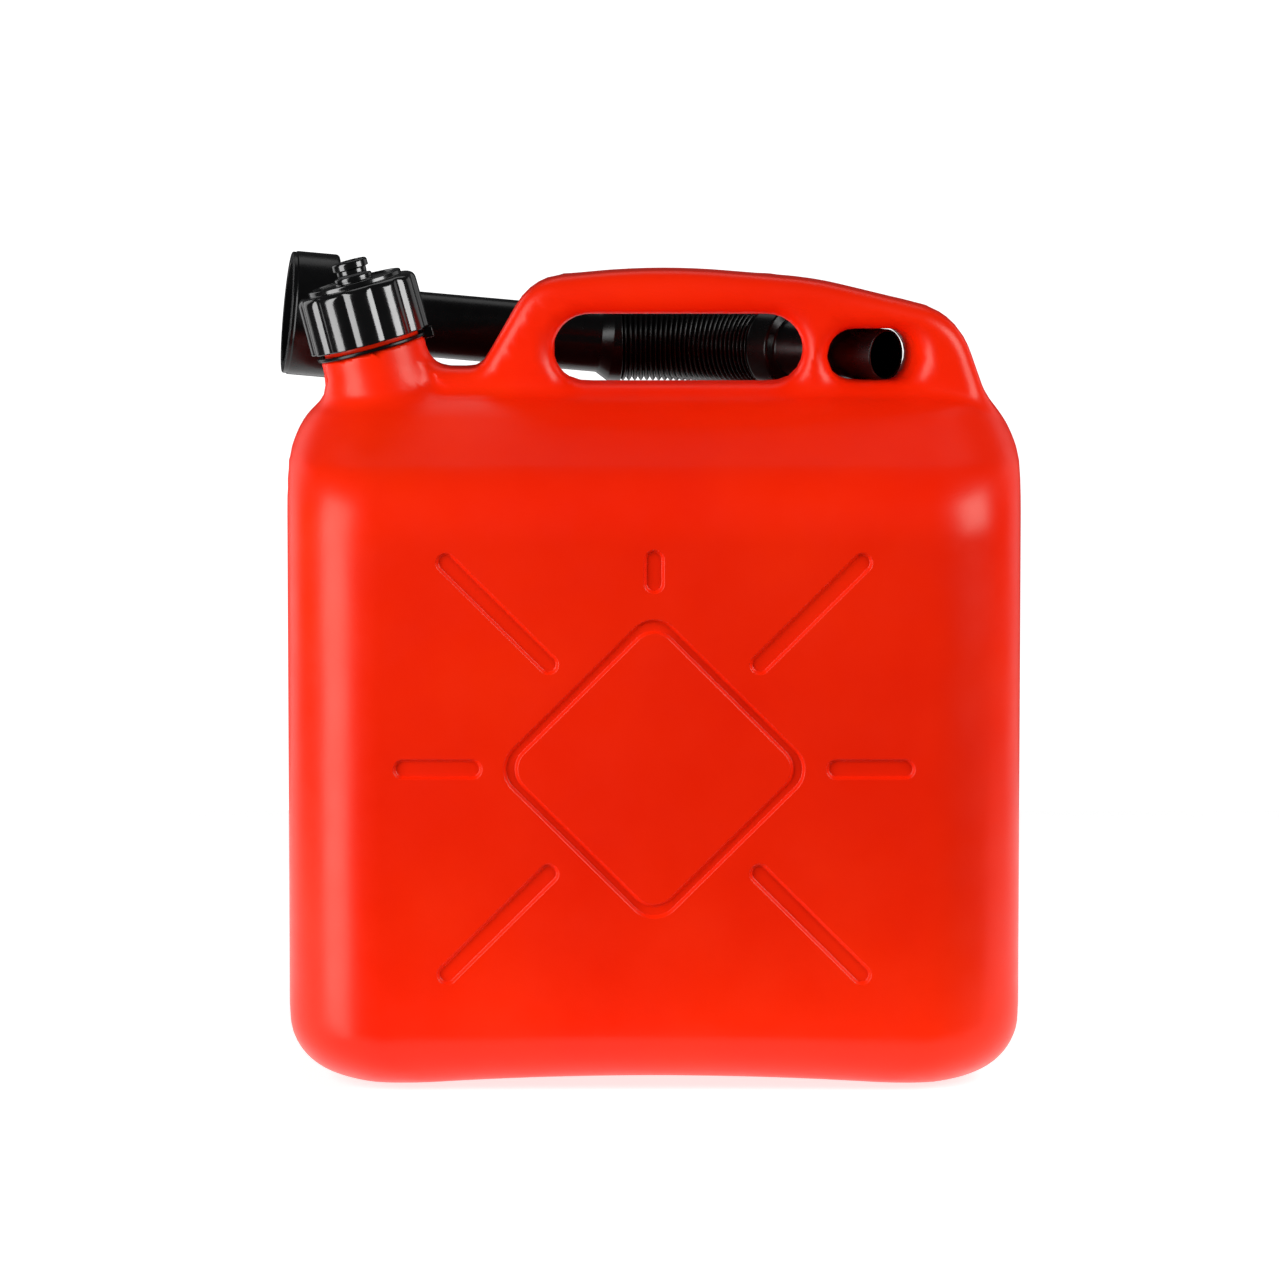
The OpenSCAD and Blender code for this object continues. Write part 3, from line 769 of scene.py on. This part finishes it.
def build_tube():
    """Smooth tube with its flange in the collar and its cuff at the hose, cut square to the hose"""
    def cut_square(r, t, s):
        lean = -math.asin(TUBE_DIR[2])
        shift = -r * np.cos(t) * math.tan(lean)
        return r, s + shift * smooth_step((s - TUBE_LEN + 3) / 3)

    end, r, flange_end = TUBE_LEN - HOSE_GAP, TUBE_D / 2, FLANGE_S + FLANGE_T
    corners = [(TUBE_BORE / 2, FLANGE_S, 0.2), (FLANGE_R, FLANGE_S, 0.3), (FLANGE_R, flange_end, 0.3),
               (r, flange_end, 0.3), (r, 60.0, 0), (r, end - TUBE_CUFF_LEN - 3, 1.2),
               (CUFF_D / 2, end - TUBE_CUFF_LEN + 2, 1.4), (CUFF_D / 2, end - 2.5, 0),
               (CUFF_D / 2, end, 0.8), (TUBE_BORE / 2, end, 0.1)]
    return turn("tube_shell", TUBE, corners, 96, 5, cut_square)


def build_hose():
    """Corrugated hose along its bend, from the nozzle to the tube"""
    rows, segments = HOSE_RINGS * 10 + 1, 64
    q = np.linspace(0, 1, rows)
    wave = 0.5 - 0.5 * np.cos(2 * math.pi * HOSE_RINGS * q)
    r_out = HOSE_ROOT_D / 2 + (HOSE_D - HOSE_ROOT_D) / 2 * wave ** 0.6
    t = np.linspace(0, 2 * math.pi, segments, endpoint=False)
    start = math.atan2(NOZZLE_END[1] - BEND_CENTRE[1], NOZZLE_END[0] - BEND_CENTRE[0])
    points = []
    for r_row, order in ((r_out, range(rows)), (HOSE_BORE / 2 + 0 * q, range(rows - 1, -1, -1))):
        for i in order:
            a = start + HOSE_TURN * q[i]
            out = np.array([math.cos(a), math.sin(a), 0])
            middle = BEND_CENTRE + HOSE_BEND_R * out
            ring = np.outer(np.cos(t), out) + np.outer(np.sin(t), (0, 0, 1))
            points.append(middle + r_row[i] * ring)
    faces = [f[::-1] for f in turned_faces(2 * rows, segments, True)]
    return make_object("hose_shell", np.concatenate(points), faces)


def build_nozzle():
    """Nozzle with its cuff at the hose and a long outlet, bored through"""
    waist_s = NOZZLE_LEN - OUTLET_LEN
    corners = [(NOZZLE_BORE_R, 0.0, 0.1), (CUFF_D / 2, 0.0, 0.8), (CUFF_D / 2, CUFF_LEN, 1.4),
               (NOZZLE_ROOT_D / 2, CUFF_LEN + 1.4, 1.2), (NOZZLE_NECK_D / 2, waist_s, 4),
               (TIP_D / 2, NOZZLE_LEN, 0.35), (TIP_BORE / 2, NOZZLE_LEN, 0.35),
               (TIP_BORE / 2, waist_s, 4), (NOZZLE_BORE_R, CUFF_LEN, 1)]
    return turn("nozzle_shell", NOZZLE, corners, 96, 5)


# ------------------------------------------------------------------ materials
class Nodes:
    """Short calls for building one material"""

    def __init__(self, name):
        self.material = bpy.data.materials.new(name)
        self.material.use_nodes = True
        self.tree = self.material.node_tree
        self.tree.nodes.clear()
        self.shader = self.add("ShaderNodeBsdfPrincipled")
        out = self.add("ShaderNodeOutputMaterial")
        self.link(self.shader.outputs[0], out.inputs["Surface"])
        self.place = self.add("ShaderNodeTexCoord").outputs["Object"]

    def add(self, kind, **settings):
        node = self.tree.nodes.new(kind)
        for key, value in settings.items():
            setattr(node, key, value)
        return node

    def link(self, a, b):
        self.tree.links.new(a, b)

    def noise(self, scale, detail=3.0, roughness=0.5, stretch=None):
        node = self.add("ShaderNodeTexNoise")
        node.inputs["Scale"].default_value = scale
        node.inputs["Detail"].default_value = detail
        node.inputs["Roughness"].default_value = roughness
        place = self.place
        if stretch:
            mapping = self.add("ShaderNodeMapping")
            mapping.inputs["Scale"].default_value = stretch
            self.link(place, mapping.inputs["Vector"])
            place = mapping.outputs[0]
        self.link(place, node.inputs["Vector"])
        return node.outputs["Fac"]

    def ramp(self, value, stops):
        node = self.add("ShaderNodeValToRGB")
        while len(node.color_ramp.elements) < len(stops):
            node.color_ramp.elements.new(0.5)
        for element, (position, colour) in zip(node.color_ramp.elements, stops):
            element.position = position
            element.color = (*colour, 1) if isinstance(colour, tuple) else (colour, colour, colour, 1)
        self.link(value, node.inputs[0])
        return node.outputs[0]

    def math(self, operation, a, b=None):
        node = self.add("ShaderNodeMath", operation=operation)
        for i, value in enumerate((a, b)):
            if value is None:
                continue
            if isinstance(value, (int, float)):
                node.inputs[i].default_value = value
            else:
                self.link(value, node.inputs[i])
        return node.outputs[0]

    def bump(self, height, distance, strength=1.0, below=None):
        node = self.add("ShaderNodeBump")
        node.inputs["Distance"].default_value = distance
        node.inputs["Strength"].default_value = strength
        self.link(height, node.inputs["Height"])
        if below is not None:
            self.link(below, node.inputs["Normal"])
        return node.outputs[0]

    def set(self, **values):
        for key, value in values.items():
            self.shader.inputs[key.replace("_", " ")].default_value = value


def red_polyethylene():
    """Satin blow-moulded skin: cloudy red, soft waviness, fine orange peel and a parting line"""
    n = Nodes("red_polyethylene")
    cloud = n.noise(11, 4, 0.55)
    n.link(n.ramp(cloud, [(0.3, (0.88, 0.0130, 0.0003)), (0.55, (0.93, 0.0175, 0.0004)),
                          (0.75, (0.97, 0.0230, 0.0005))]), n.shader.inputs["Base Color"])
    satin = n.noise(46, 5, 0.6)
    n.link(n.ramp(satin, [(0.3, 0.29), (0.7, 0.37)]), n.shader.inputs["Roughness"])
    wavy = n.bump(n.noise(30, 1, 0.3), 0.0008, 0.6)
    peel = n.bump(n.noise(850, 2, 0.5), 0.00006, 0.5, wavy)
    split = n.add("ShaderNodeSeparateXYZ")
    n.link(n.place, split.inputs[0])
    off_line = n.math("ABSOLUTE", split.outputs["Y"])
    line = n.add("ShaderNodeMapRange", interpolation_type="SMOOTHSTEP")
    for key, value in (("From Min", 0.0), ("From Max", 0.0006), ("To Min", 1.0), ("To Max", 0.0)):
        line.inputs[key].default_value = value
    n.link(off_line, line.inputs["Value"])
    n.link(n.bump(line.outputs[0], 0.00025, 0.8, peel), n.shader.inputs["Normal"])
    n.set(IOR=1.5, Specular_IOR_Level=0.32, Specular_Tint=(1, 0.85, 0.75, 1))
    return n.material


def black_plastic(name, shade, smooth, rough, peel_scale, shine):
    """Moulded black plastic with faint flow marks and a fine skin"""
    n = Nodes(name)
    flow = n.noise(60, 4, 0.6, (1, 1, 0.35))
    dark = (shade, shade, shade * 1.06)
    light = (shade * 1.7, shade * 1.7, shade * 1.8)
    n.link(n.ramp(flow, [(0.35, dark), (0.7, light)]), n.shader.inputs["Base Color"])
    n.link(n.ramp(n.noise(140, 5, 0.65), [(0.3, smooth), (0.72, rough)]), n.shader.inputs["Roughness"])
    wavy = n.bump(n.noise(90, 1, 0.3), 0.0002, 0.5)
    n.link(n.bump(n.noise(peel_scale, 2, 0.5), 0.00003, 0.5, wavy), n.shader.inputs["Normal"])
    n.set(IOR=1.5, Specular_IOR_Level=shine)
    return n.material


def seal_rubber():
    n = Nodes("seal_rubber")
    grain = n.noise(1400, 3, 0.6)
    n.link(n.ramp(n.noise(120, 3), [(0.3, (0.012, 0.012, 0.013)), (0.7, (0.022, 0.022, 0.024))]),
           n.shader.inputs["Base Color"])
    n.link(n.ramp(grain, [(0.3, 0.6), (0.7, 0.78)]), n.shader.inputs["Roughness"])
    n.link(n.bump(grain, 0.00004, 0.6), n.shader.inputs["Normal"])
    return n.material


def pale_floor():
    n = Nodes("pale_floor")
    n.link(n.ramp(n.noise(3, 2), [(0.3, (0.60, 0.60, 0.60)), (0.7, (0.63, 0.63, 0.63))]),
           n.shader.inputs["Base Color"])
    n.set(Roughness=0.9, Emission_Color=(1, 1, 1, 1), Emission_Strength=0.75, Specular_IOR_Level=0.1)
    return n.material


def wear(obj, material, slot):
    obj.data.materials.clear()
    obj.data.materials.append(material)
    for child in obj.children:
        wear(child, material, slot)


RED = red_polyethylene()
CAP_BLACK = black_plastic("cap_black", 0.002, 0.12, 0.20, 900, 0.9)
SPOUT_BLACK = black_plastic("spout_black", 0.002, 0.20, 0.30, 700, 0.3)
RUBBER = seal_rubber()


# ------------------------------------------------------------------ the pieces on their bodies
def dress(obj, body, material, slot, *nodes):
    wear(obj, material, slot)
    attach(obj, body)
    if nodes:
        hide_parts(*nodes)


dress(build_can(), "can", RED, "red_shell", "can_body")
dress(build_neck_finish(), "can", RED, "red_shell")
dress(build_neck_ring(), "ring", SPOUT_BLACK, "spout_black", "neck_ring")
dress(build_cap(), "cap", CAP_BLACK, "cap_black", "screw_cap")
dress(build_vent(), "vent", CAP_BLACK, "cap_black", "vent_plug")
dress(build_collar(), "collar", SPOUT_BLACK, "spout_black", "spout_collar")
dress(build_tube(), "tube", SPOUT_BLACK, "spout_black", "spout_tube")
dress(build_nozzle(), "nozzle", SPOUT_BLACK, "spout_black", "spout_nozzle")
hose = build_hose()
wear(hose, SPOUT_BLACK, "spout_black")
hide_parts("spout_hose")
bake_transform(hose)
for name in ("cap_liner", "vent_seal", "spout_gasket"):
    wear(frame["nodes"][name], RUBBER, "seal_rubber")


# ------------------------------------------------------------------ floor, light and camera
LOOK_AT = Vector((-0.0058, 0.0, 0.1791))
CAMERA_FAR, CAMERA_UP = 3.5, math.radians(7)
SEEN_WIDTH = 0.5334
FLOOR_HALF, FLOOR_FRONT, FLOOR_BACK = 0.75, -0.13, 0.75


def build_floor():
    corners = [(-FLOOR_HALF, FLOOR_FRONT), (FLOOR_HALF, FLOOR_FRONT), (FLOOR_HALF, FLOOR_BACK),
               (-FLOOR_HALF, FLOOR_BACK)]
    mesh = bpy.data.meshes.new("floor")
    mesh.from_pydata([(x, y, 0) for x, y in corners], [], [(0, 1, 2, 3)])
    floor = bpy.data.objects.new("floor", mesh)
    bpy.context.scene.collection.objects.link(floor)
    mesh.materials.append(pale_floor())


def soft_box(name, azimuth, elevation, far, width, height, radiance):
    """A soft box aimed at the can. Azimuth 0 is the camera's side, positive to its right."""
    a, e = math.radians(azimuth), math.radians(elevation)
    towards = Vector((math.sin(a) * math.cos(e), -math.cos(a) * math.cos(e), math.sin(e)))
    light = bpy.data.lights.new(name, "AREA")
    light.shape = "RECTANGLE"
    light.size, light.size_y = width, height
    light.energy = radiance * math.pi * width * height
    obj = bpy.data.objects.new(name, light)
    obj.location = LOOK_AT + towards * far
    obj.rotation_euler = (-towards).to_track_quat("-Z", "Y").to_euler()
    bpy.context.scene.collection.objects.link(obj)


def build_light():
    soft_box("left_key", -57, 8, 1.15, 0.65, 1.3, 6.2)
    soft_box("right_key", 60, 25, 1.25, 0.7, 0.7, 7.8)
    soft_box("top", 180, 60, 1.3, 1.0, 0.5, 0.8)
    soft_box("back_left", -130, 10, 1.5, 0.8, 1.2, 1.0)
    soft_box("back_right", 130, 10, 1.5, 0.8, 1.2, 0.5)
    world = bpy.data.worlds.new("studio")
    bpy.context.scene.world = world
    world.use_nodes = True
    tree = world.node_tree
    tree.nodes.clear()
    rays, mix = tree.nodes.new("ShaderNodeLightPath"), tree.nodes.new("ShaderNodeMixShader")
    white, dim = tree.nodes.new("ShaderNodeBackground"), tree.nodes.new("ShaderNodeBackground")
    white.inputs[0].default_value, white.inputs[1].default_value = (1, 1, 1, 1), 1.2
    dim.inputs[0].default_value, dim.inputs[1].default_value = (0.95, 0.97, 1, 1), 0.04
    out = tree.nodes.new("ShaderNodeOutputWorld")
    tree.links.new(rays.outputs["Is Camera Ray"], mix.inputs[0])
    tree.links.new(dim.outputs[0], mix.inputs[1])
    tree.links.new(white.outputs[0], mix.inputs[2])
    tree.links.new(mix.outputs[0], out.inputs["Surface"])


def build_camera():
    data = bpy.data.cameras.new("camera")
    data.sensor_width = 36
    data.lens = data.sensor_width * CAMERA_FAR / SEEN_WIDTH
    data.clip_start, data.clip_end = 0.05, 50
    camera = bpy.data.objects.new("camera", data)
    away = Vector((0, -math.cos(CAMERA_UP), math.sin(CAMERA_UP)))
    camera.location = LOOK_AT + away * CAMERA_FAR
    camera.rotation_euler = (-away).to_track_quat("-Z", "Y").to_euler()
    bpy.context.scene.collection.objects.link(camera)
    bpy.context.scene.camera = camera


build_floor()
build_light()
build_camera()
bpy.context.scene.view_settings.view_transform = "Standard"
